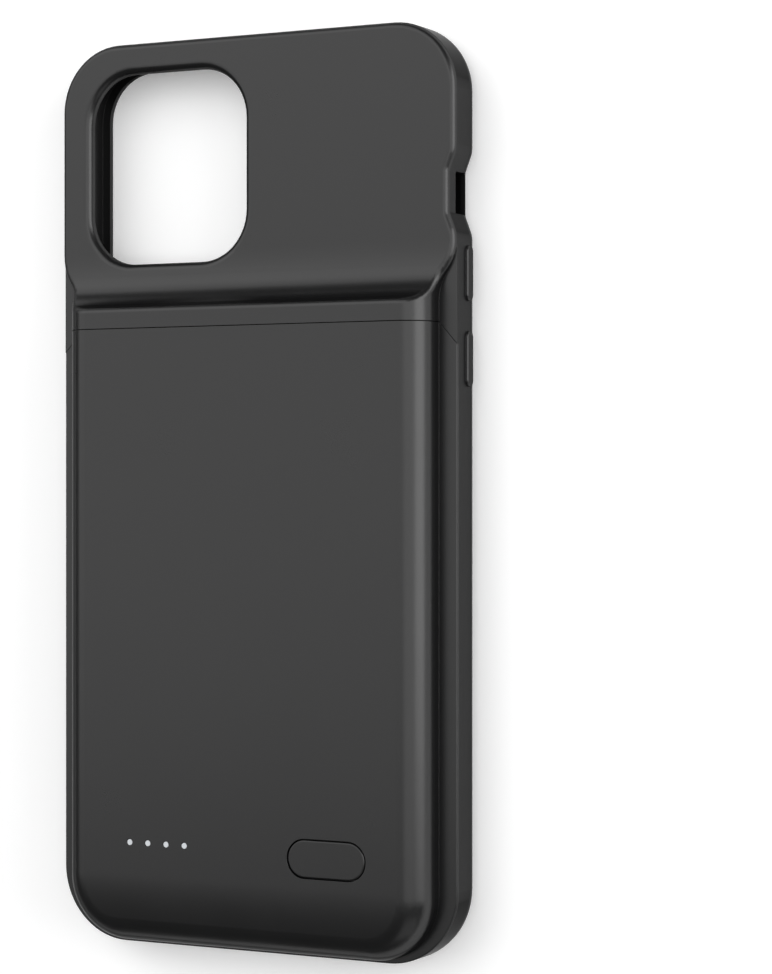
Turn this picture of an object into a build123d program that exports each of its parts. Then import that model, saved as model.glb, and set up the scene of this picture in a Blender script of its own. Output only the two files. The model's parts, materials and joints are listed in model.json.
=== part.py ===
"""Battery charging case: soft bumper, hard battery cover, inner tray, cell and electronics.

The case lies face down. The front lip is on the ground plane, +Z points out of the back
and +Y points to the camera end. Sizes are in millimetres.
"""
import os

from build123d import *

os.makedirs("parts", exist_ok=True)

# Handset that the case takes, and the play around it
phone_width = 71.5
phone_length = 146.7
phone_thickness = 7.4
phone_corner = 10.0
phone_play = 0.15

# Soft bumper
side_wall = 2.6
top_wall = 2.2
chin = 7.55
lip_thickness = 0.9
lip_overhang = 1.6
upper_back = 1.6
top_corner = 11.4
bottom_corner = 12.6
front_round = 4.0
upper_edge_land = 0.05
rim_edge_round = 0.2

# Hump of the battery pack
hump_height = 5.2
hump_inset = 3.35
hump_end_inset = 0.6
hump_corner = 11.0
hump_round = 4.8
hump_end_drop = 1.0
hump_end_run = 12.0
shoulder_rise = 0.5
slope_start_below_top = 36.65
slope_bend_below_top = 40.75
slope_bend_rise = 0.3
ledge_below_top = 46.5
seam_below_top = 49.95
seam_diagonal = 3.7
seam_gap = 0.12
seam_land = 0.35
neck_start_below_top = 36.65
neck_end_below_top = 46.55

# Camera window
window_width = 31.2
window_length = 33.2
window_corner = 8.8
window_round = 1.35
window_from_side = 5.87
window_from_top = 5.3

# Mute switch notch and side button pads
notch_from_top = 28.55
notch_outer_length = 13.8
notch_floor_length = 7.0
notch_depth = 1.3
notch_corner = 1.6
notch_mouth_corner = 4.6
notch_slot_height = 4.6
pad_rise = 0.45
pad_height = 2.2
pad_edge_round = 0.3
volume_pad_length = 9.3
volume_up_from_top = 41.85
volume_down_from_top = 56.05
power_pad_length = 16.6
power_pad_from_top = 48.25

# Chin openings
chin_wall = 1.7
chin_floor = 1.8
carrier_end_wall = 2.2
carrier_web = 0.6
port_mouth_width = 11.4
port_mouth_height = 5.4
sound_slot_width = 1.6
sound_slot_length = 2.6
sound_slot_pitch = 3.4
sound_slot_count = 4
sound_group_offset = 15.0

# Hard battery cover and inner tray
cover_wall = 1.3
bay_pocket = 2.0
tray_thickness = 1.0
assembly_play = 0.1
boss_radius = 1.9
boss_from_side = 3.4
boss_top_below_seam = 2.6
tray_screw_diameter = 1.4
tray_screw_head = 2.4
tray_screw_length = 3.4
tray_screw_sink = 0.6
screw_play = 0.05
drive_length = 1.4
drive_width = 0.3
drive_depth = 0.3

# Indicator lights and power button
light_diameter = 1.1
light_pitch = 3.65
light_count = 4
light_group_x = -15.63
light_row_above_bottom = 18.2
light_play = 0.05
light_bar_width = 2.0
light_gap = 0.2
button_x = 17.32
button_row_above_bottom = 17.4
button_length = 14.5
button_width = 6.3
button_gap = 0.2
button_flange = 1.0
button_flange_thickness = 0.6
button_travel = 0.3
button_stem = 2.6
button_stem_length = 0.25
button_play = 0.05
button_edge_round = 0.25

# Battery cell
cell_side_gap = 3.25
cell_top_gap = 0.15
cell_edge_round = 0.9
cell_head_gap = 5.4
cell_board_gap = 2.0
foam_thickness = 0.35
foam_inset = 4.0
terrace_length = 4.5
terrace_thickness = 0.4
terrace_inset = 8.0
guard_board_width = 42.0
guard_board_length = 3.4
guard_board_thickness = 0.6
tab_width = 5.0
tab_thickness = 0.15
tab_spacing = 26.0
lead_diameter = 1.0
lead_spacing = 6.0
lead_bend = 1.2

# Main board
board_side_gap = 6.25
board_length = 19.0
board_thickness = 0.8
board_from_bay_end = 2.2
standoff_radius = 1.7
board_screw_diameter = 1.2
board_screw_head = 2.6
board_screw_head_height = 0.9
board_screw_inset = 2.6
board_corner = 3.0
parts_row_from_edge = 5.2
controller_x = -12.0
inductor_x = -3.0
capacitors_x = 8.0
controller_size = 4.0
controller_thickness = 0.8
inductor_size = 5.0
inductor_thickness = 2.2
inductor_corner = 0.8
capacitor_length = 1.6
capacitor_width = 0.8
capacitor_pitch = 2.4
capacitor_count = 5
emitter_length = 1.6
emitter_width = 0.8
emitter_thickness = 0.6
switch_size = 4.5
switch_thickness = 1.5
plunger_diameter = 2.0
plunger_reach = 0.35
plunger_depth = 0.55
plunger_play = 0.1

# Charging plug and charge port
port_depth = 5.0
port_recess = 0.7
port_width = 8.9
port_height = 3.2
port_shell_wall = 0.3
port_tongue_width = 6.6
port_tongue_thickness = 0.7
port_tongue_depth = 3.8
plug_board_thickness = 0.6
plug_board_width = 13.6
plug_tongue_width = 6.7
plug_tongue_length = 6.6
plug_tongue_thickness = 1.5
plug_tongue_edge = 0.5
plug_tip_round = 0.4
plug_base_width = 14.2
contact_count = 8
contact_pitch = 0.72
contact_width = 0.4
contact_length = 3.0
contact_rise = 0.05
contact_from_tip = 1.2
flex_width = 6.0
flex_thickness = 0.15
flex_tail = 7.0
flex_landing = 1.4
flex_bend = 0.6
flex_slot_play = 1.0

# Overall sizes and heights that follow
cavity_width = phone_width + 2 * phone_play
cavity_length = phone_length + 2 * phone_play
cavity_corner = phone_corner + phone_play
case_width = cavity_width + 2 * side_wall
case_length = cavity_length + top_wall + chin
half_width = case_width / 2
case_top = case_length / 2
case_bottom = -case_length / 2
cavity_bottom = case_bottom + chin
cavity_y = cavity_bottom + cavity_length / 2
cavity_back = lip_thickness + phone_thickness + phone_play
phone_middle = lip_thickness + phone_thickness / 2
shoulder_z = cavity_back + shoulder_rise
upper_z = cavity_back + upper_back
upper_edge_round = upper_back - shoulder_rise - upper_edge_land
hump_top = upper_z + hump_height

# Plan of the hump, the seam and the battery bay
hump_half = half_width - hump_inset
hump_end = case_bottom + hump_end_inset
slope_start = case_top - slope_start_below_top
slope_bend = case_top - slope_bend_below_top
ledge_y = case_top - ledge_below_top
seam_y = case_top - seam_below_top
neck_start = case_top - neck_start_below_top
neck_end = case_top - neck_end_below_top
notch_y = case_top - notch_from_top
bay_half = hump_half - cover_wall
bay_end = hump_end + cover_wall
bay_top = seam_y + bay_pocket
bay_corner = hump_corner - cover_wall
bay_ceiling = hump_top - cover_wall
bay_round = hump_round - cover_wall
tray_top = cavity_back + tray_thickness

# Stack of the main board and of the cell
light_y = case_bottom + light_row_above_bottom
button_y = case_bottom + button_row_above_bottom
button_flange_top = bay_ceiling - button_play
button_flange_bottom = button_flange_top - button_flange_thickness
button_foot = button_flange_bottom - button_stem_length
plunger_top = button_foot
switch_top = plunger_top - plunger_reach
board_end = bay_end + board_from_bay_end
board_y = board_end + board_length / 2
parts_row_y = board_end + parts_row_from_edge
board_top = switch_top - switch_thickness
board_bottom = board_top - board_thickness
board_width = 2 * (bay_half - board_side_gap)
cell_end = board_end + board_length + cell_board_gap + terrace_length
cell_head = seam_y - cell_head_gap
cell_length = cell_head - cell_end
cell_y = (cell_end + cell_head) / 2
cell_bottom = tray_top + foam_thickness
cell_thickness = bay_ceiling - cell_top_gap - cell_bottom
cell_width = 2 * (bay_half - cell_side_gap)
cell_middle = cell_bottom + cell_thickness / 2
terrace_top = cell_middle + terrace_thickness / 2
guard_board_y = cell_end - terrace_length / 2
guard_board_top = terrace_top + guard_board_thickness
boss_x = bay_half - boss_from_side
boss_rows = [cell_end - terrace_length / 2, seam_y - boss_top_below_seam]
boss_places = [(side * boss_x, row) for row in boss_rows for side in (-1, 1)]
board_screw_x = board_width / 2 - board_screw_inset
board_screw_y = board_end + board_length - board_screw_inset
board_screw_places = [(-board_screw_x, board_screw_y), (board_screw_x, board_screw_y)]
light_places = [
    (light_group_x + (index - (light_count - 1) / 2) * light_pitch, light_y)
    for index in range(light_count)
]

# Charging plug, carrier and port along the length
port_front = case_bottom + port_recess
plug_board_y = port_front + port_depth
plug_base_y = plug_board_y + plug_board_thickness
plug_base_depth = cavity_bottom - plug_base_y
carrier_front = case_bottom + chin_wall + assembly_play
carrier_floor = chin_floor + assembly_play
duct_width = sound_slot_count * sound_slot_pitch
carrier_width = 2 * (sound_group_offset + duct_width / 2 + carrier_end_wall)


def bay_plan(play):
    """Plan of the battery bay, drawn in by play, in the active sketch."""
    with Locations((0, (bay_end + bay_top) / 2)):
        Rectangle(2 * (bay_half - play), bay_top - bay_end - 2 * play)


def end_fall(height):
    """Space above the fall towards the lower end of a back that lies at height."""
    beyond = case_width
    with BuildPart() as zone:
        with BuildSketch(Plane.YZ):
            with BuildLine():
                fall = TangentArc(
                    (hump_end + hump_end_run, height),
                    (hump_end, height - hump_end_drop),
                    tangent=(-1, 0),
                )
                Polyline(
                    fall @ 1,
                    (hump_end - beyond, height - hump_end_drop),
                    (hump_end - beyond, height + beyond),
                    (hump_end + hump_end_run, height + beyond),
                    fall @ 0,
                )
            make_face()
        extrude(amount=beyond, both=True)
    return zone.part


def rim_of(faces):
    """Edges round a group of faces, without the edges that two of the faces share."""
    edges = [edge for face in faces for edge in face.edges()]
    return [edge for edge in edges if edges.count(edge) == 1]


def cover_zone(gap, height):
    """Space above the bumper's rim and below the seam, held back from the seam by gap."""
    beyond = case_width
    run = seam_diagonal / hump_inset
    seam_line = seam_y - gap
    with BuildPart() as zone:
        with BuildSketch(Plane.XY.offset(cavity_back)):
            with BuildLine():
                Polyline(
                    (-hump_half, seam_line),
                    (hump_half, seam_line),
                    (hump_half + beyond, seam_line - run * beyond),
                    (hump_half + beyond, case_bottom - run * beyond),
                    (-hump_half - beyond, case_bottom - run * beyond),
                    (-hump_half - beyond, seam_line - run * beyond),
                    close=True,
                )
            make_face()
        extrude(amount=height)
    return zone.part


def notch_zone():
    """Space of the notch over the mute switch, from the ground to above the upper back."""
    floor_x = half_width - notch_depth
    with BuildPart() as zone:
        with BuildSketch():
            with BuildLine():
                FilletPolyline(
                    (half_width, notch_y - notch_outer_length),
                    (half_width, notch_y - notch_outer_length / 2),
                    (floor_x, notch_y - notch_floor_length / 2),
                    (floor_x, notch_y + notch_floor_length / 2),
                    (half_width, notch_y + notch_outer_length / 2),
                    (half_width, notch_y + notch_outer_length),
                    radius=(notch_mouth_corner, notch_corner, notch_corner, notch_mouth_corner),
                )
                Polyline(
                    (half_width, notch_y + notch_outer_length),
                    (half_width + notch_outer_length, notch_y),
                    (half_width, notch_y - notch_outer_length),
                )
            make_face()
        extrude(amount=hump_top)
    return zone.part


back_fall = end_fall(hump_top)
ceiling_fall = end_fall(bay_ceiling)
mute_notch = notch_zone()
rim_zone = cover_zone(0, hump_top)
seam_land_zone = cover_zone(0, seam_land)
lid_zone = cover_zone(seam_gap, hump_top)

# Outer form of the whole case, before it is parted into bumper and cover
with BuildPart() as form:
    with BuildSketch() as case_plan:
        Rectangle(case_width, case_length)
        fillet(case_plan.vertices().group_by(Axis.Y)[-1], top_corner)
        fillet(case_plan.vertices().group_by(Axis.Y)[0], bottom_corner)
    extrude(amount=shoulder_z)
    with BuildSketch(Plane.XY.offset(shoulder_z)):
        with BuildLine():
            Line((0, hump_end), (hump_half - hump_corner, hump_end))
            TangentArc(
                (hump_half - hump_corner, hump_end),
                (hump_half, hump_end + hump_corner),
                tangent=(1, 0),
            )
            Line((hump_half, hump_end + hump_corner), (hump_half, neck_end))
            neck_low = TangentArc(
                (hump_half, neck_end),
                ((hump_half + half_width) / 2, (neck_end + neck_start) / 2),
                tangent=(0, 1),
            )
            TangentArc(neck_low @ 1, (half_width, neck_start), tangent=neck_low % 1)
            Line((half_width, neck_start), (half_width, case_top - top_corner))
            TangentArc(
                (half_width, case_top - top_corner),
                (half_width - top_corner, case_top),
                tangent=(0, 1),
            )
            Line((half_width - top_corner, case_top), (0, case_top))
            mirror(about=Plane.YZ)
        make_face()
    extrude(amount=hump_top - shoulder_z)
    add(back_fall, mode=Mode.SUBTRACT)
    back_faces = form.faces().filter_by_position(Axis.Z, hump_top - hump_end_drop, hump_top)
    fillet(rim_of(back_faces), hump_round)
    with BuildSketch(Plane.YZ):
        with BuildLine():
            gentle = TangentArc(
                (slope_start, upper_z),
                (slope_bend, upper_z + slope_bend_rise),
                tangent=(-1, 0),
            )
            steep = TangentArc(gentle @ 1, (ledge_y, hump_top), tangent=gentle % 1)
            Polyline(
                steep @ 1,
                (ledge_y, 2 * hump_top),
                (2 * case_top, 2 * hump_top),
                (2 * case_top, upper_z),
                (slope_start, upper_z),
            )
        make_face()
    extrude(amount=case_width, both=True, mode=Mode.SUBTRACT)
    add(mute_notch, mode=Mode.SUBTRACT)
    upper_face = form.faces().filter_by(Plane.XY).filter_by_position(Axis.Z, upper_z, upper_z)[0]
    slope_faces = (
        form.faces()
        .filter_by(GeomType.CYLINDER)
        .filter_by_position(Axis.Z, upper_z, hump_top)
        .sort_by(Axis.Y)[-2:]
    )
    fillet(rim_of([upper_face, *slope_faces]), upper_edge_round)
    fillet(form.faces().sort_by(Axis.Z)[0].edges(), front_round)

# Battery bay inside the hump
with BuildPart() as bay:
    with BuildSketch(Plane.XY.offset(cavity_back)) as bay_floor:
        bay_plan(0)
        fillet(bay_floor.vertices().group_by(Axis.Y)[0], bay_corner)
    extrude(amount=bay_ceiling - cavity_back)
    add(ceiling_fall, mode=Mode.SUBTRACT)
    ceiling_faces = bay.faces().filter_by_position(Axis.Z, bay_ceiling - hump_end_drop, bay_ceiling)
    fillet(rim_of(ceiling_faces), bay_round)


def on_outline(edge):
    """True for an edge that runs along the sides, the bottom end or the bottom corners of the case."""
    middle = edge @ 0.5
    near = rim_edge_round / 2
    on_side = abs(abs(middle.X) - half_width) < near
    on_end = abs(middle.Y - case_bottom) < near
    on_corner = edge.geom_type == GeomType.CIRCLE and abs(edge.radius - bottom_corner) < near
    return on_side or on_end or on_corner


# Soft bumper: side walls, front lip, upper back, slope and chin in one moulding
window_x = window_from_side + window_width / 2 - half_width
window_y = case_top - window_from_top - window_length / 2
with BuildPart() as bumper:
    add(form.part)
    add(rim_zone, mode=Mode.SUBTRACT)
    add(bay.part, mode=Mode.SUBTRACT)
    with BuildSketch(Plane.XY.offset(lip_thickness)):
        with Locations((0, cavity_y)):
            RectangleRounded(cavity_width, cavity_length, cavity_corner)
    extrude(amount=cavity_back - lip_thickness, mode=Mode.SUBTRACT)
    with BuildSketch():
        with Locations((0, cavity_y)):
            RectangleRounded(
                cavity_width - 2 * lip_overhang,
                cavity_length - 2 * lip_overhang,
                cavity_corner - lip_overhang,
            )
    extrude(amount=lip_thickness, mode=Mode.SUBTRACT)
    rim_edges = bumper.edges().filter_by_position(Axis.Z, cavity_back, cavity_back).filter_by(on_outline)
    fillet(rim_edges, rim_edge_round)
    # Chin pocket for the plug carrier, port mouth and sound slots
    with BuildSketch(Plane.XY.offset(chin_floor)):
        with Locations((0, case_bottom + chin_wall + (chin - chin_wall) / 2)):
            Rectangle(carrier_width + 2 * assembly_play, chin - chin_wall)
    extrude(amount=cavity_back - chin_floor, mode=Mode.SUBTRACT)
    with BuildSketch(Plane.XZ.offset(-case_bottom)):
        with Locations((0, phone_middle)):
            SlotOverall(port_mouth_width, port_mouth_height)
        for side in (-1, 1):
            with Locations((side * sound_group_offset, phone_middle)):
                with GridLocations(sound_slot_pitch, 0, sound_slot_count, 1):
                    SlotOverall(sound_slot_length, sound_slot_width, rotation=90)
    extrude(amount=-chin_wall, mode=Mode.SUBTRACT)
    # Camera window with its rounded rim
    with BuildSketch(Plane.XY.offset(cavity_back)):
        with Locations((window_x, window_y)):
            RectangleRounded(window_width, window_length, window_corner)
    extrude(amount=hump_height, mode=Mode.SUBTRACT)
    window_walls = [face for face in bumper.faces(Select.LAST) if abs(face.normal_at().Z) < 0.5]
    window_rim = [edge for edge in rim_of(window_walls) if (edge @ 0.5).Z > upper_z - window_round / 2]
    fillet(window_rim, window_round)
    # Slot in the notch that the mute switch shows through
    with BuildSketch(Plane.YZ.offset(half_width)):
        with Locations((notch_y, phone_middle)):
            Rectangle(notch_floor_length, notch_slot_height)
    extrude(amount=-side_wall, mode=Mode.SUBTRACT)
    # Button pads moulded on the side walls
    pad_root = half_width - side_wall / 2
    with BuildSketch(Plane.YZ.offset(pad_root)):
        for pad_from_top in (volume_up_from_top, volume_down_from_top):
            with Locations((case_top - pad_from_top, phone_middle)):
                SlotOverall(volume_pad_length, pad_height)
    extrude(amount=half_width + pad_rise - pad_root)
    with BuildSketch(Plane.YZ.offset(-pad_root)):
        with Locations((case_top - power_pad_from_top, phone_middle)):
            SlotOverall(power_pad_length, pad_height)
    extrude(amount=pad_root - half_width - pad_rise)
    pad_faces = bumper.faces().filter_by(Plane.YZ)
    pad_tops = [face for face in pad_faces if abs(face.center().X) > half_width + pad_rise / 2]
    fillet(rim_of(pad_tops), pad_edge_round)
bumper.part.label = "bumper"
export_step(bumper.part, "parts/bumper.step")

# Space for the cover: a gap at the seam, closed by a land at its foot
with BuildPart() as lid_space:
    add(lid_zone)
    add(seam_land_zone)

# Hard battery cover: hump shell with the flange that sits on the bumper's rim
with BuildPart() as battery_cover:
    add(form.part)
    add(lid_space.part, mode=Mode.INTERSECT)
    add(bay.part, mode=Mode.SUBTRACT)
    flange_edges = (
        battery_cover.edges().filter_by_position(Axis.Z, shoulder_z, shoulder_z).filter_by(on_outline)
    )
    fillet(flange_edges, rim_edge_round)
    with BuildSketch(Plane.XY.offset(tray_top)):
        with Locations(*boss_places):
            Circle(boss_radius)
    extrude(amount=bay_ceiling + cover_wall / 2 - tray_top)
    with BuildSketch(Plane.XY.offset(tray_top)):
        with Locations(*boss_places):
            Circle(tray_screw_diameter / 2 + screw_play)
    extrude(amount=tray_screw_length, mode=Mode.SUBTRACT)
    with BuildSketch(Plane.XY.offset(bay_ceiling)):
        with Locations(*light_places):
            Circle(light_diameter / 2)
        with Locations((button_x, button_y)):
            SlotOverall(button_length + 2 * button_gap, button_width + 2 * button_gap)
    extrude(amount=cover_wall, mode=Mode.SUBTRACT)
battery_cover.part.label = "battery_cover"
export_step(battery_cover.part, "parts/battery_cover.step")

# Inner tray: hard plate between the handset and the battery, with standoffs for the main board
standoff_places = board_screw_places + [(x, 2 * board_y - y) for x, y in board_screw_places]
with BuildPart() as inner_tray:
    with BuildSketch(Plane.XY.offset(cavity_back)) as tray_plan:
        bay_plan(assembly_play)
        fillet(tray_plan.vertices().group_by(Axis.Y)[0], bay_corner - assembly_play)
        with Locations((0, plug_board_y)):
            Rectangle(flex_width + flex_slot_play, flex_slot_play, mode=Mode.SUBTRACT)
    extrude(amount=tray_thickness)
    with BuildSketch(Plane.XY.offset(tray_top)):
        with Locations(*standoff_places):
            Circle(standoff_radius)
    extrude(amount=board_bottom - tray_top)
    with BuildSketch(Plane.XY.offset(tray_top)):
        with Locations(*board_screw_places):
            Circle(board_screw_diameter / 2 + screw_play)
    extrude(amount=board_bottom - tray_top, mode=Mode.SUBTRACT)
    with Locations(*[(x, y, cavity_back) for x, y in boss_places]):
        Cone(
            tray_screw_head / 2 + screw_play,
            tray_screw_diameter / 2 + screw_play,
            tray_screw_sink,
            align=(Align.CENTER, Align.CENTER, Align.MIN),
            mode=Mode.SUBTRACT,
        )
        Cylinder(
            tray_screw_diameter / 2 + screw_play,
            tray_thickness,
            align=(Align.CENTER, Align.CENTER, Align.MIN),
            mode=Mode.SUBTRACT,
        )
inner_tray.part.label = "inner_tray"
export_step(inner_tray.part, "parts/inner_tray.step")

# Countersunk screws that hold the tray to the cover's bosses
with BuildPart() as tray_screws:
    with Locations(*[(x, y, cavity_back) for x, y in boss_places]):
        Cone(
            tray_screw_head / 2,
            tray_screw_diameter / 2,
            tray_screw_sink,
            align=(Align.CENTER, Align.CENTER, Align.MIN),
        )
        Cylinder(
            tray_screw_diameter / 2,
            tray_screw_length,
            align=(Align.CENTER, Align.CENTER, Align.MIN),
        )
        for turn in (0, 90):
            Box(
                drive_length,
                drive_width,
                drive_depth,
                rotation=(0, 0, turn),
                align=(Align.CENTER, Align.CENTER, Align.MIN),
                mode=Mode.SUBTRACT,
            )
tray_screws.part.label = "tray_screws"
export_step(tray_screws.part, "parts/tray_screws.step")

# Pouch cell with its sealed terrace at the tab end
with BuildPart() as battery_cell:
    with BuildSketch(Plane.XY.offset(cell_bottom)):
        with Locations((0, cell_y)):
            Rectangle(cell_width, cell_length)
    extrude(amount=cell_thickness)
    fillet(battery_cell.edges(), cell_edge_round)
    with BuildSketch(Plane.XY.offset(terrace_top)):
        with Locations((0, guard_board_y)):
            Rectangle(cell_width - 2 * terrace_inset, terrace_length)
    extrude(amount=-terrace_thickness)
battery_cell.part.label = "battery_cell"
export_step(battery_cell.part, "parts/battery_cell.step")

# Foam pad under the cell
with BuildPart() as cell_foam:
    with BuildSketch(Plane.XY.offset(tray_top)):
        with Locations((0, cell_y)):
            RectangleRounded(cell_width - 2 * foam_inset, cell_length - 2 * foam_inset, foam_inset)
    extrude(amount=foam_thickness)
cell_foam.part.label = "cell_foam"
export_step(cell_foam.part, "parts/cell_foam.step")

# Protection board on the terrace, and the two tabs welded to it
with BuildPart() as protection_board:
    with BuildSketch(Plane.XY.offset(terrace_top)):
        with Locations((0, guard_board_y)):
            Rectangle(guard_board_width, guard_board_length)
    extrude(amount=guard_board_thickness)
protection_board.part.label = "protection_board"
export_step(protection_board.part, "parts/protection_board.step")

with BuildPart() as cell_tabs:
    with BuildSketch(Plane.XY.offset(guard_board_top)):
        with Locations((0, guard_board_y)):
            with GridLocations(tab_spacing, 0, 2, 1):
                Rectangle(tab_width, guard_board_length)
    extrude(amount=tab_thickness)
cell_tabs.part.label = "cell_tabs"
export_step(cell_tabs.part, "parts/cell_tabs.step")

# Leads from the protection board down to the main board
lead_high = guard_board_top + lead_diameter / 2
lead_low = board_top + lead_diameter / 2
board_head = board_end + board_length
lead_nodes = {"lead_positive": lead_spacing / 2, "lead_negative": -lead_spacing / 2}
for lead_name, lead_x in lead_nodes.items():
    with BuildPart() as lead:
        with BuildLine() as lead_route:
            FilletPolyline(
                (lead_x, guard_board_y, lead_high),
                (lead_x, guard_board_y - guard_board_length / 2 - lead_bend / 2, lead_high),
                (lead_x, board_head - lead_bend, lead_low),
                (lead_x, board_head - 3 * lead_bend, lead_low),
                radius=lead_bend,
            )
        with BuildSketch(Plane(origin=lead_route.line @ 0, z_dir=lead_route.line % 0)):
            Circle(lead_diameter / 2)
        sweep()
    lead.part.label = lead_name
    export_step(lead.part, "parts/" + lead_name + ".step")

# Main board and what is soldered on it
with BuildPart() as main_board:
    with BuildSketch(Plane.XY.offset(board_bottom)):
        with Locations((0, board_y)):
            Rectangle(board_width, board_length)
        with Locations(*board_screw_places):
            Circle(board_screw_diameter / 2 + screw_play, mode=Mode.SUBTRACT)
    extrude(amount=board_thickness)
    fillet(main_board.edges().filter_by(Axis.Z).group_by(Axis.Y)[0], board_corner)
main_board.part.label = "main_board"
export_step(main_board.part, "parts/main_board.step")

with BuildPart() as charge_controller:
    with BuildSketch(Plane.XY.offset(board_top)):
        with Locations((controller_x, parts_row_y)):
            Rectangle(controller_size, controller_size)
    extrude(amount=controller_thickness)
charge_controller.part.label = "charge_controller"
export_step(charge_controller.part, "parts/charge_controller.step")

with BuildPart() as boost_inductor:
    with BuildSketch(Plane.XY.offset(board_top)):
        with Locations((inductor_x, parts_row_y)):
            RectangleRounded(inductor_size, inductor_size, inductor_corner)
    extrude(amount=inductor_thickness)
boost_inductor.part.label = "boost_inductor"
export_step(boost_inductor.part, "parts/boost_inductor.step")

with BuildPart() as chip_capacitors:
    with BuildSketch(Plane.XY.offset(board_top)):
        with Locations((capacitors_x, parts_row_y)):
            with GridLocations(capacitor_pitch, 0, capacitor_count, 1):
                Rectangle(capacitor_width, capacitor_length)
    extrude(amount=capacitor_width)
chip_capacitors.part.label = "chip_capacitors"
export_step(chip_capacitors.part, "parts/chip_capacitors.step")

with BuildPart() as light_emitters:
    with BuildSketch(Plane.XY.offset(board_top)):
        with Locations(*light_places):
            Rectangle(emitter_width, emitter_length)
    extrude(amount=emitter_thickness)
light_emitters.part.label = "light_emitters"
export_step(light_emitters.part, "parts/light_emitters.step")

with BuildPart() as board_screws:
    with Locations(*[(x, y, board_top) for x, y in board_screw_places]):
        Cylinder(
            board_screw_head / 2,
            board_screw_head_height,
            align=(Align.CENTER, Align.CENTER, Align.MIN),
        )
        Cylinder(
            board_screw_diameter / 2,
            board_top - tray_top,
            align=(Align.CENTER, Align.CENTER, Align.MAX),
        )
    with Locations(*[(x, y, board_top + board_screw_head_height) for x, y in board_screw_places]):
        for turn in (0, 90):
            Box(
                drive_length,
                drive_width,
                drive_depth,
                rotation=(0, 0, turn),
                align=(Align.CENTER, Align.CENTER, Align.MAX),
                mode=Mode.SUBTRACT,
            )
board_screws.part.label = "board_screws"
export_step(board_screws.part, "parts/board_screws.step")

# Light guide: one bar under the cover with a post in each indicator hole
with BuildPart() as light_guide:
    guide_bottom = board_top + emitter_thickness + light_gap
    with BuildSketch(Plane.XY.offset(guide_bottom)):
        with Locations((light_group_x, light_y)):
            SlotOverall((light_count - 1) * light_pitch + light_bar_width, light_bar_width)
    extrude(amount=bay_ceiling - guide_bottom)
    with BuildSketch(Plane.XY.offset(bay_ceiling)):
        with Locations(*light_places):
            Circle(light_diameter / 2 - light_play)
    extrude(amount=cover_wall - light_play)
light_guide.part.label = "light_guide"
export_step(light_guide.part, "parts/light_guide.step")

# Power button: cap in the cover's slot, flange under the cover and foot over the switch
with BuildPart() as power_button:
    with BuildSketch(Plane.XY.offset(button_flange_bottom)):
        with Locations((button_x, button_y)):
            SlotOverall(button_length + 2 * button_flange, button_width + 2 * button_flange)
    extrude(amount=button_flange_thickness)
    with BuildSketch(Plane.XY.offset(button_flange_top)):
        with Locations((button_x, button_y)):
            SlotOverall(button_length, button_width)
    extrude(amount=hump_top - button_flange_top)
    fillet(power_button.faces().sort_by(Axis.Z)[-1].edges(), button_edge_round)
    with BuildSketch(Plane.XY.offset(button_foot)):
        with Locations((button_x, button_y)):
            Circle(button_stem / 2)
    extrude(amount=button_stem_length)
power_button.part.label = "power_button"
export_step(power_button.part, "parts/power_button.step")

# Push switch under the button
with BuildPart() as switch_body:
    with BuildSketch(Plane.XY.offset(board_top)):
        with Locations((button_x, button_y)):
            Rectangle(switch_size, switch_size)
    extrude(amount=switch_thickness)
    with BuildSketch(Plane.XY.offset(switch_top)):
        with Locations((button_x, button_y)):
            Circle(plunger_diameter / 2 + plunger_play)
    extrude(amount=-(plunger_depth + button_travel + plunger_play), mode=Mode.SUBTRACT)
switch_body.part.label = "switch_body"
export_step(switch_body.part, "parts/switch_body.step")

with BuildPart() as switch_plunger:
    with BuildSketch(Plane.XY.offset(plunger_top)):
        with Locations((button_x, button_y)):
            Circle(plunger_diameter / 2)
    extrude(amount=-(plunger_reach + plunger_depth))
switch_plunger.part.label = "switch_plunger"
export_step(switch_plunger.part, "parts/switch_plunger.step")

# Plug carrier: hard block in the chin that holds the charging plug and the port
with BuildPart() as plug_carrier:
    with BuildSketch(Plane.XY.offset(carrier_floor)):
        with Locations((0, (carrier_front + cavity_bottom) / 2)):
            Rectangle(carrier_width, cavity_bottom - carrier_front)
    extrude(amount=cavity_back - carrier_floor)
    with BuildSketch(Plane.XZ.offset(-carrier_front)):
        with Locations((0, carrier_floor + carrier_web)):
            Rectangle(
                plug_base_width + 2 * assembly_play,
                cavity_back - carrier_floor,
                align=(Align.CENTER, Align.MIN),
            )
        for side in (-1, 1):
            with Locations((side * sound_group_offset, phone_middle)):
                Rectangle(duct_width, sound_slot_length)
    extrude(amount=carrier_front - cavity_bottom, mode=Mode.SUBTRACT)
plug_carrier.part.label = "plug_carrier"
export_step(plug_carrier.part, "parts/plug_carrier.step")

# Charging plug: board, base plate, tongue and contacts
plug_floor = carrier_floor + carrier_web + assembly_play
plug_ceiling = cavity_back - assembly_play
with BuildPart() as plug_board:
    with BuildSketch(Plane.XZ.offset(-plug_board_y)):
        with Locations((0, plug_floor)):
            Rectangle(plug_board_width, plug_ceiling - plug_floor, align=(Align.CENTER, Align.MIN))
    extrude(amount=-plug_board_thickness)
plug_board.part.label = "plug_board"
export_step(plug_board.part, "parts/plug_board.step")

with BuildPart() as plug_base:
    with BuildSketch(Plane.XZ.offset(-plug_base_y)):
        with Locations((0, plug_floor)):
            Rectangle(plug_base_width, plug_ceiling - plug_floor, align=(Align.CENTER, Align.MIN))
    extrude(amount=-plug_base_depth)
plug_base.part.label = "plug_base"
export_step(plug_base.part, "parts/plug_base.step")

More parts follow.
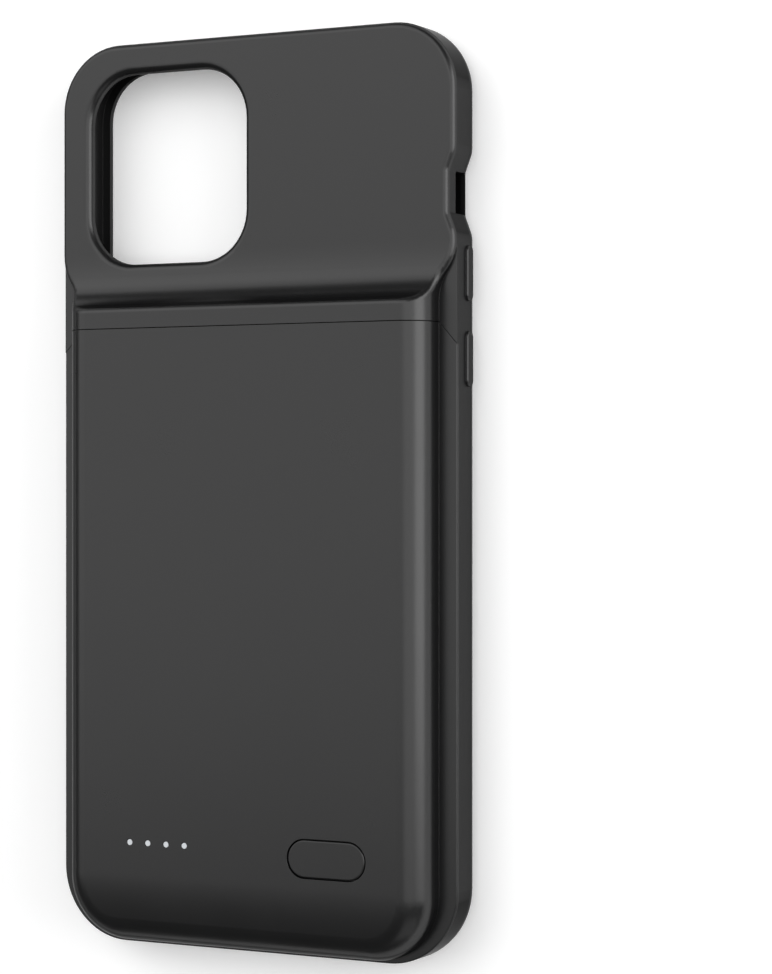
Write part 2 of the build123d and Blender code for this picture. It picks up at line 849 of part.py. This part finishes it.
with BuildPart() as plug_tongue:
    with BuildSketch(Plane.XZ.offset(-cavity_bottom)):
        with Locations((0, phone_middle)):
            RectangleRounded(plug_tongue_width, plug_tongue_thickness, plug_tongue_edge)
    extrude(amount=-plug_tongue_length)
    fillet(plug_tongue.faces().sort_by(Axis.Y)[-1].edges(), plug_tip_round)
plug_tongue.part.label = "plug_tongue"
export_step(plug_tongue.part, "parts/plug_tongue.step")

with BuildPart() as plug_contacts:
    for side in (-1, 1):
        face_z = phone_middle + side * plug_tongue_thickness / 2
        with BuildSketch(Plane.XY.offset(face_z)):
            with Locations((0, cavity_bottom + plug_tongue_length - contact_from_tip)):
                with GridLocations(contact_pitch, 0, contact_count, 1):
                    Rectangle(contact_width, contact_length, align=(Align.CENTER, Align.MAX))
        extrude(amount=side * contact_rise)
plug_contacts.part.label = "plug_contacts"
export_step(plug_contacts.part, "parts/plug_contacts.step")

# Flexible strip from the plug board up to the underside of the main board
with BuildPart() as flex_cable:
    with BuildSketch(Plane.YZ.offset(-flex_width / 2)):
        with BuildLine() as flex_route:
            FilletPolyline(
                (plug_board_y - flex_thickness / 2, plug_ceiling - flex_landing),
                (plug_board_y - flex_thickness / 2, board_bottom - flex_thickness / 2),
                (plug_board_y + flex_tail, board_bottom - flex_thickness / 2),
                radius=flex_bend,
            )
            offset(amount=flex_thickness / 2)
        make_face()
    extrude(amount=flex_width)
flex_cable.part.label = "flex_cable"
export_step(flex_cable.part, "parts/flex_cable.step")

# Charge port: shell, tongue and contacts
with BuildPart() as charge_port_shell:
    with BuildSketch(Plane.XZ.offset(-port_front)):
        with Locations((0, phone_middle)):
            SlotOverall(port_width, port_height)
            SlotOverall(
                port_width - 2 * port_shell_wall,
                port_height - 2 * port_shell_wall,
                mode=Mode.SUBTRACT,
            )
    extrude(amount=-port_depth)
charge_port_shell.part.label = "charge_port_shell"
export_step(charge_port_shell.part, "parts/charge_port_shell.step")

with BuildPart() as charge_port_tongue:
    with BuildSketch(Plane.XZ.offset(-plug_board_y)):
        with Locations((0, phone_middle)):
            Rectangle(port_tongue_width, port_tongue_thickness)
    extrude(amount=port_tongue_depth)
charge_port_tongue.part.label = "charge_port_tongue"
export_step(charge_port_tongue.part, "parts/charge_port_tongue.step")

with BuildPart() as port_contacts:
    for side in (-1, 1):
        face_z = phone_middle + side * port_tongue_thickness / 2
        with BuildSketch(Plane.XY.offset(face_z)):
            with Locations((0, plug_board_y)):
                with GridLocations(contact_pitch, 0, contact_count, 1):
                    Rectangle(contact_width, contact_length, align=(Align.CENTER, Align.MAX))
        extrude(amount=side * contact_rise)
port_contacts.part.label = "port_contacts"
export_step(port_contacts.part, "parts/port_contacts.step")
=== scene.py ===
"""Battery charging case, lying face down on a pale floor: finishes, light and camera."""
import json
import math

import bpy
from mathutils import Matrix, Vector

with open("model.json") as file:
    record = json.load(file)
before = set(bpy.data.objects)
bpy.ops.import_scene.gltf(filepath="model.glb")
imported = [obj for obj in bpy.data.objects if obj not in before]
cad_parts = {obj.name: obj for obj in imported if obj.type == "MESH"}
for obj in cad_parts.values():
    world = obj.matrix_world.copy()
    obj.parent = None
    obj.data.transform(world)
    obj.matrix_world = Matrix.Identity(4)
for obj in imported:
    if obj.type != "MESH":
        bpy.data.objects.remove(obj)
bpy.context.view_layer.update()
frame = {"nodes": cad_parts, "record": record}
nodes = frame["nodes"]
scene = bpy.context.scene

# Span that most of a noise falls in
noise_low, noise_high = 0.3, 0.7


# Helpers for shader trees

def opaque(colour):
    """Colour with full alpha, as colour sockets take it."""
    return (*colour, 1.0)


def feed(tree, target, value):
    """Links an output socket to an input socket, or sets the input to a plain value."""
    if isinstance(value, bpy.types.NodeSocket):
        tree.links.new(value, target)
    else:
        target.default_value = value


def add(tree, kind, inputs=None, **settings):
    """New shader node with its settings, and with what its input sockets get."""
    made = tree.nodes.new(kind)
    for name, value in settings.items():
        setattr(made, name, value)
    for name, value in (inputs or {}).items():
        feed(tree, made.inputs[name], value)
    return made


def calculate(tree, operation, first, second):
    """Math node on sockets or plain numbers; gives its output socket."""
    return add(tree, "ShaderNodeMath", {0: first, 1: second}, operation=operation).outputs[0]


def weighed(tree, first, first_share, second, second_share):
    """Sum of two values, each times its share."""
    return calculate(tree, "ADD", calculate(tree, "MULTIPLY", first, first_share),
                     calculate(tree, "MULTIPLY", second, second_share))


def spread(tree, value, low, high, from_low=noise_low, from_high=noise_high):
    """Maps a value from one span to another, held inside the new span."""
    made = add(tree, "ShaderNodeMapRange", {
        "Value": value, "From Min": from_low, "From Max": from_high, "To Min": low, "To Max": high,
    })
    return made.outputs["Result"]


def blend(tree, mask, first, second):
    """Colour that goes from first to second with the mask."""
    made = add(tree, "ShaderNodeMix", {"Factor": mask, "A": first, "B": second}, data_type="RGBA")
    return made.outputs["Result"]


def object_place(tree):
    """Place on the object, for textures."""
    return add(tree, "ShaderNodeTexCoord").outputs["Object"]


def noise(tree, place, scale, detail, rough=0.5):
    """Noise at a place; gives its value."""
    made = add(tree, "ShaderNodeTexNoise", {
        "Vector": place, "Scale": scale, "Detail": detail, "Roughness": rough,
    })
    return made.outputs["Fac"]


def new_group(name, inputs, outputs):
    """Empty shader node group with number inputs and the outputs named, as (name, kind)."""
    group = bpy.data.node_groups.new(name, "ShaderNodeTree")
    for label, default in inputs:
        socket = group.interface.new_socket(label, in_out="INPUT", socket_type="NodeSocketFloat")
        socket.default_value = default
    for label, kind in outputs:
        group.interface.new_socket(label, in_out="OUTPUT", socket_type=kind)
    return group, group.nodes.new("NodeGroupInput"), group.nodes.new("NodeGroupOutput")


# Effects that several finishes share

def moulded_grain():
    """Fine grain of a moulding, with slow changes of tone and of polish."""
    tree, given, put = new_group(
        "moulded_grain",
        [("Grain Scale", 9000.0), ("Cloud Scale", 60.0)],
        [("Height", "NodeSocketFloat"), ("Tone", "NodeSocketFloat"), ("Polish", "NodeSocketFloat")],
    )
    place = object_place(tree)
    grain = noise(tree, place, given.outputs["Grain Scale"], 3.0, 0.6)
    cloud = noise(tree, place, given.outputs["Cloud Scale"], 4.0, 0.55)
    speck = noise(tree, place, 2600.0, 2.0)
    feed(tree, put.inputs["Height"], grain)
    feed(tree, put.inputs["Tone"], weighed(tree, cloud, 0.6, speck, 0.4))
    feed(tree, put.inputs["Polish"], weighed(tree, cloud, 0.7, grain, 0.3))
    return tree


def worn_edge():
    """Rounded look of sharp edges, and a broken mask along them."""
    tree, given, put = new_group(
        "worn_edge",
        [("Radius", 0.0002)],
        [("Normal", "NodeSocketVector"), ("Mask", "NodeSocketFloat")],
    )
    rounded = add(tree, "ShaderNodeBevel", {"Radius": given.outputs["Radius"]}, samples=6).outputs["Normal"]
    flat = add(tree, "ShaderNodeNewGeometry").outputs["Normal"]
    facing = add(tree, "ShaderNodeVectorMath", {0: rounded, 1: flat}, operation="DOT_PRODUCT")
    bent = spread(tree, facing.outputs["Value"], 1.0, 0.0, 0.75, 0.99)
    patch = noise(tree, object_place(tree), 420.0, 4.0)
    broken = calculate(tree, "MULTIPLY", bent, spread(tree, patch, 0.2, 1.0, 0.35, 0.7))
    feed(tree, put.inputs["Normal"], rounded)
    feed(tree, put.inputs["Mask"], broken)
    return tree


grain_group = moulded_grain()
edge_group = worn_edge()


def place_group(tree, group, values):
    """Outputs of a group placed in a material with its input values."""
    return add(tree, "ShaderNodeGroup", values, node_tree=group).outputs


# Finishes

def new_material(name):
    """Empty material with a Principled shader; gives the material, its tree and the shader."""
    material = bpy.data.materials.new(name)
    material.use_nodes = True
    tree = material.node_tree
    tree.nodes.clear()
    shader = tree.nodes.new("ShaderNodeBsdfPrincipled")
    add(tree, "ShaderNodeOutputMaterial", {"Surface": shader.outputs["BSDF"]})
    return material, tree, shader


def moulding(name, dark, light, worn, rough, grain, depth=0.000004, edge=0.0002, mirror=None):
    """Moulded plastic or soft rubber with grain, tone and slightly paler edges.

    Rough is the least and the most roughness. Mirror is how much the moulding reflects when
    it is seen straight on and along the surface, where the grain shades itself.
    """
    slant_start, slant_end = 0.3, 0.6
    material, tree, shader = new_material(name)
    surface = place_group(tree, grain_group, {"Grain Scale": grain})
    rim = place_group(tree, edge_group, {"Radius": edge})
    tone = blend(tree, surface["Tone"], opaque(dark), opaque(light))
    bump = add(tree, "ShaderNodeBump", {
        "Strength": 0.6, "Distance": depth, "Height": surface["Height"], "Normal": rim["Normal"],
    })
    feed(tree, shader.inputs["Base Color"], blend(tree, rim["Mask"], tone, opaque(worn)))
    feed(tree, shader.inputs["Roughness"], spread(tree, surface["Polish"], *rough))
    feed(tree, shader.inputs["Normal"], bump.outputs["Normal"])
    if mirror:
        slant = add(tree, "ShaderNodeLayerWeight", {"Blend": 0.5}).outputs["Facing"]
        feed(tree, shader.inputs["Specular IOR Level"], spread(tree, slant, *mirror, slant_start, slant_end))
    return material


def metal(name, dark, light, rough, grain=5000.0, stretch=(1.0, 1.0, 1.0), depth=0.000003):
    """Plated or drawn metal with fine lines along one direction."""
    material, tree, shader = new_material(name)
    drawn = add(tree, "ShaderNodeMapping", {"Vector": object_place(tree), "Scale": stretch})
    lines = noise(tree, drawn.outputs["Vector"], grain, 4.0, 0.6)
    rim = place_group(tree, edge_group, {"Radius": 0.0001})
    bump = add(tree, "ShaderNodeBump", {
        "Strength": 0.5, "Distance": depth, "Height": lines, "Normal": rim["Normal"],
    })
    feed(tree, shader.inputs["Base Color"], blend(tree, lines, opaque(dark), opaque(light)))
    feed(tree, shader.inputs["Roughness"], spread(tree, lines, *rough))
    feed(tree, shader.inputs["Normal"], bump.outputs["Normal"])
    shader.inputs["Metallic"].default_value = 1.0
    return material


def circuit_board(name):
    """Solder mask over copper tracks."""
    material, tree, shader = new_material(name)
    tracks = add(tree, "ShaderNodeTexBrick", {
        "Vector": object_place(tree), "Scale": 420.0,
        "Mortar Size": 0.06, "Brick Width": 1.3, "Row Height": 0.34, "Bias": 0.0,
        "Color1": opaque((0.006, 0.05, 0.022)),
        "Color2": opaque((0.008, 0.065, 0.03)),
        "Mortar": opaque((0.02, 0.13, 0.05)),
    })
    surface = place_group(tree, grain_group, {"Grain Scale": 4000.0})
    bump = add(tree, "ShaderNodeBump", {
        "Strength": 0.5, "Distance": 0.00003, "Height": tracks.outputs["Fac"],
    })
    feed(tree, shader.inputs["Base Color"], tracks.outputs["Color"])
    feed(tree, shader.inputs["Roughness"], spread(tree, surface["Polish"], 0.28, 0.42))
    feed(tree, shader.inputs["Normal"], bump.outputs["Normal"])
    return material


def light_pipe(name):
    """Milky light pipe that glows."""
    material, tree, shader = new_material(name)
    surface = place_group(tree, grain_group, {"Grain Scale": 3000.0, "Cloud Scale": 900.0})
    milk = blend(tree, surface["Tone"], opaque((0.42, 0.44, 0.46)), opaque((0.54, 0.56, 0.58)))
    glow = blend(tree, surface["Tone"], opaque((0.78, 0.82, 0.86)), opaque((0.95, 0.97, 1.0)))
    feed(tree, shader.inputs["Base Color"], milk)
    feed(tree, shader.inputs["Emission Color"], glow)
    feed(tree, shader.inputs["Roughness"], spread(tree, surface["Polish"], 0.2, 0.35))
    shader.inputs["Emission Strength"].default_value = 0.15
    return material


case_black = {
    "dark": (0.006, 0.006, 0.0062), "light": (0.0085, 0.0085, 0.0087),
    "worn": (0.016, 0.016, 0.0165), "rough": (0.27, 0.31), "edge": 0.0001, "mirror": (0.5, 0.02),
}
finishes = {
    "soft_black": moulding("soft_black_moulding", grain=7000.0, **case_black),
    "hard_black": moulding("hard_black_moulding", grain=9000.0, **case_black),
    "button_black": moulding("button_moulding", grain=9000.0, **case_black),
    "tray_grey": moulding(
        "tray_moulding", dark=(0.02, 0.02, 0.021), light=(0.03, 0.03, 0.031), worn=(0.06, 0.06, 0.06),
        rough=(0.5, 0.62), grain=4500.0, depth=0.000008),
    "chip_black": moulding(
        "chip_package", dark=(0.01, 0.01, 0.01), light=(0.018, 0.018, 0.018), worn=(0.04, 0.04, 0.04),
        rough=(0.45, 0.6), grain=6000.0),
    "ferrite": moulding(
        "ferrite_body", dark=(0.06, 0.06, 0.065), light=(0.1, 0.1, 0.105), worn=(0.16, 0.16, 0.16),
        rough=(0.55, 0.7), grain=3500.0, depth=0.00001),
    "tan_ceramic": moulding(
        "tan_ceramic", dark=(0.35, 0.23, 0.13), light=(0.45, 0.31, 0.19), worn=(0.6, 0.5, 0.4),
        rough=(0.4, 0.55), grain=5000.0),
    "foam": moulding(
        "cell_foam_pad", dark=(0.03, 0.03, 0.03), light=(0.07, 0.07, 0.07), worn=(0.08, 0.08, 0.08),
        rough=(0.8, 0.95), grain=2200.0, depth=0.00006),
    "lead_red": moulding(
        "red_insulation", dark=(0.3, 0.012, 0.01), light=(0.42, 0.02, 0.016), worn=(0.5, 0.08, 0.07),
        rough=(0.35, 0.5), grain=5000.0),
    "lead_black": moulding(
        "black_insulation", dark=(0.012, 0.012, 0.012), light=(0.02, 0.02, 0.02), worn=(0.05, 0.05, 0.05),
        rough=(0.35, 0.5), grain=5000.0),
    "flex_amber": moulding(
        "amber_film", dark=(0.3, 0.12, 0.02), light=(0.42, 0.19, 0.035), worn=(0.5, 0.28, 0.1),
        rough=(0.2, 0.32), grain=4000.0),
    "steel": metal(
        "plated_steel", dark=(0.5, 0.5, 0.52), light=(0.68, 0.68, 0.7),
        rough=(0.2, 0.36), stretch=(1.0, 0.08, 1.0)),
    "gold": metal(
        "gold_contact", dark=(0.72, 0.5, 0.18), light=(0.9, 0.68, 0.3),
        rough=(0.18, 0.3), stretch=(1.0, 0.1, 1.0)),
    "nickel": metal(
        "nickel_strip", dark=(0.5, 0.49, 0.46), light=(0.64, 0.63, 0.6),
        rough=(0.22, 0.36), stretch=(0.1, 1.0, 1.0)),
    "foil": metal(
        "cell_foil", dark=(0.55, 0.56, 0.57), light=(0.68, 0.69, 0.7),
        rough=(0.3, 0.45), grain=300.0, depth=0.00002),
    "board_green": circuit_board("solder_mask"),
    "light_white": light_pipe("light_pipe"),
}
for part in frame["record"]["subparts"]:
    slots = nodes[part["node"]].data.materials
    slots.clear()
    slots.append(finishes[part["material_slot"]])


# Pale floor that keeps the shadow

def floor_paint():
    """White paint: plain for the light that falls on it, raised to white where it is seen.

    Far from the case, where the light of the soft boxes thins out, it is raised more.
    """
    near, far = 0.3, 1.6
    near_lift, far_lift = 0.22, 0.95
    material = bpy.data.materials.new("pale_floor")
    material.use_nodes = True
    tree = material.node_tree
    tree.nodes.clear()
    plain = add(tree, "ShaderNodeBsdfDiffuse", {"Color": opaque((0.8, 0.8, 0.8))})
    shaded = add(tree, "ShaderNodeBsdfDiffuse", {"Color": opaque((0.88, 0.88, 0.88))})
    away = add(tree, "ShaderNodeVectorMath", {0: object_place(tree)}, operation="LENGTH")
    lift = add(tree, "ShaderNodeEmission", {
        "Color": opaque((1.0, 1.0, 1.0)),
        "Strength": spread(tree, away.outputs["Value"], near_lift, far_lift, near, far),
    })
    raised = add(tree, "ShaderNodeAddShader", {0: shaded.outputs[0], 1: lift.outputs[0]})
    ray = tree.nodes.new("ShaderNodeLightPath").outputs
    mirrored = calculate(tree, "MAXIMUM", ray["Is Glossy Ray"], ray["Is Transmission Ray"])
    seen = calculate(tree, "MAXIMUM", ray["Is Camera Ray"], mirrored)
    paint = add(tree, "ShaderNodeMixShader", {0: seen, 1: plain.outputs[0], 2: raised.outputs[0]})
    add(tree, "ShaderNodeOutputMaterial", {"Surface": paint.outputs[0]})
    return material


def pale_floor():
    """Square floor under the case."""
    half = 3.0
    mesh = bpy.data.meshes.new("floor")
    corners = [(-half, -half, 0), (half, -half, 0), (half, half, 0), (-half, half, 0)]
    mesh.from_pydata(corners, [], [(0, 1, 2, 3)])
    mesh.materials.append(floor_paint())
    floor = bpy.data.objects.new("floor", mesh)
    scene.collection.objects.link(floor)


pale_floor()


# Studio light

def soft_box(name, place, aim, size, power):
    """Rectangular area light at place, facing aim, with its second size along the case."""
    lamp = bpy.data.lights.new(name, "AREA")
    lamp.shape = "RECTANGLE"
    lamp.size, lamp.size_y = size
    lamp.energy = power
    holder = bpy.data.objects.new(name, lamp)
    scene.collection.objects.link(holder)
    back = (Vector(place) - Vector(aim)).normalized()
    along = (Vector((0.0, 1.0, 0.0)) - back * back.y).normalized()
    turned = Matrix((along.cross(back), along, back)).transposed().to_4x4()
    holder.matrix_world = Matrix.Translation(place) @ turned


case_foot = (0.0, 0.0, 0.0)
soft_box("overhead_box", place=(-0.52, 0.42, 0.88), aim=case_foot, size=(1.75, 1.5), power=11.1)
soft_box("rear_box", place=(-0.42, 0.55, 0.85), aim=case_foot, size=(1.2, 0.55), power=1.1)
soft_box("right_panel", place=(0.85, 0.2, 0.36), aim=(0.0, 0.2, 0.36), size=(0.7, 0.76), power=6.6)
soft_box("upper_right_box", place=(0.52, 0.15, 1.0), aim=(0.0, 0.15, 0.05), size=(0.88, 0.86), power=4.7)
soft_box("lower_end_box", place=(0.75, -1.25, 0.75), aim=case_foot, size=(1.3, 0.9), power=2.2)

world = bpy.data.worlds.new("studio")
scene.world = world
world.use_nodes = True
sky = world.node_tree.nodes["Background"]
sky.inputs["Color"].default_value = opaque((1.0, 1.0, 1.0))
sky.inputs["Strength"].default_value = 0.07


# Camera: turned towards +X, with the camera end of the case at the top of the picture

camera_place = (0.23842, 0.00222, 0.4234)
camera_turn = math.radians(27.21)
picture_height = 974.0
focal_length = 2795.0
picture_drop = 7.0

camera_data = bpy.data.cameras.new("photo_camera")
camera_data.sensor_width = 36.0
camera_data.lens = camera_data.sensor_width * focal_length / picture_height
camera_data.shift_y = -picture_drop / picture_height
camera_data.clip_start = 0.01
camera = bpy.data.objects.new("photo_camera", camera_data)
scene.collection.objects.link(camera)
camera.matrix_world = Matrix.Translation(camera_place) @ Matrix.Rotation(camera_turn, 4, "Y")
scene.camera = camera
scene.view_settings.view_transform = "Standard"
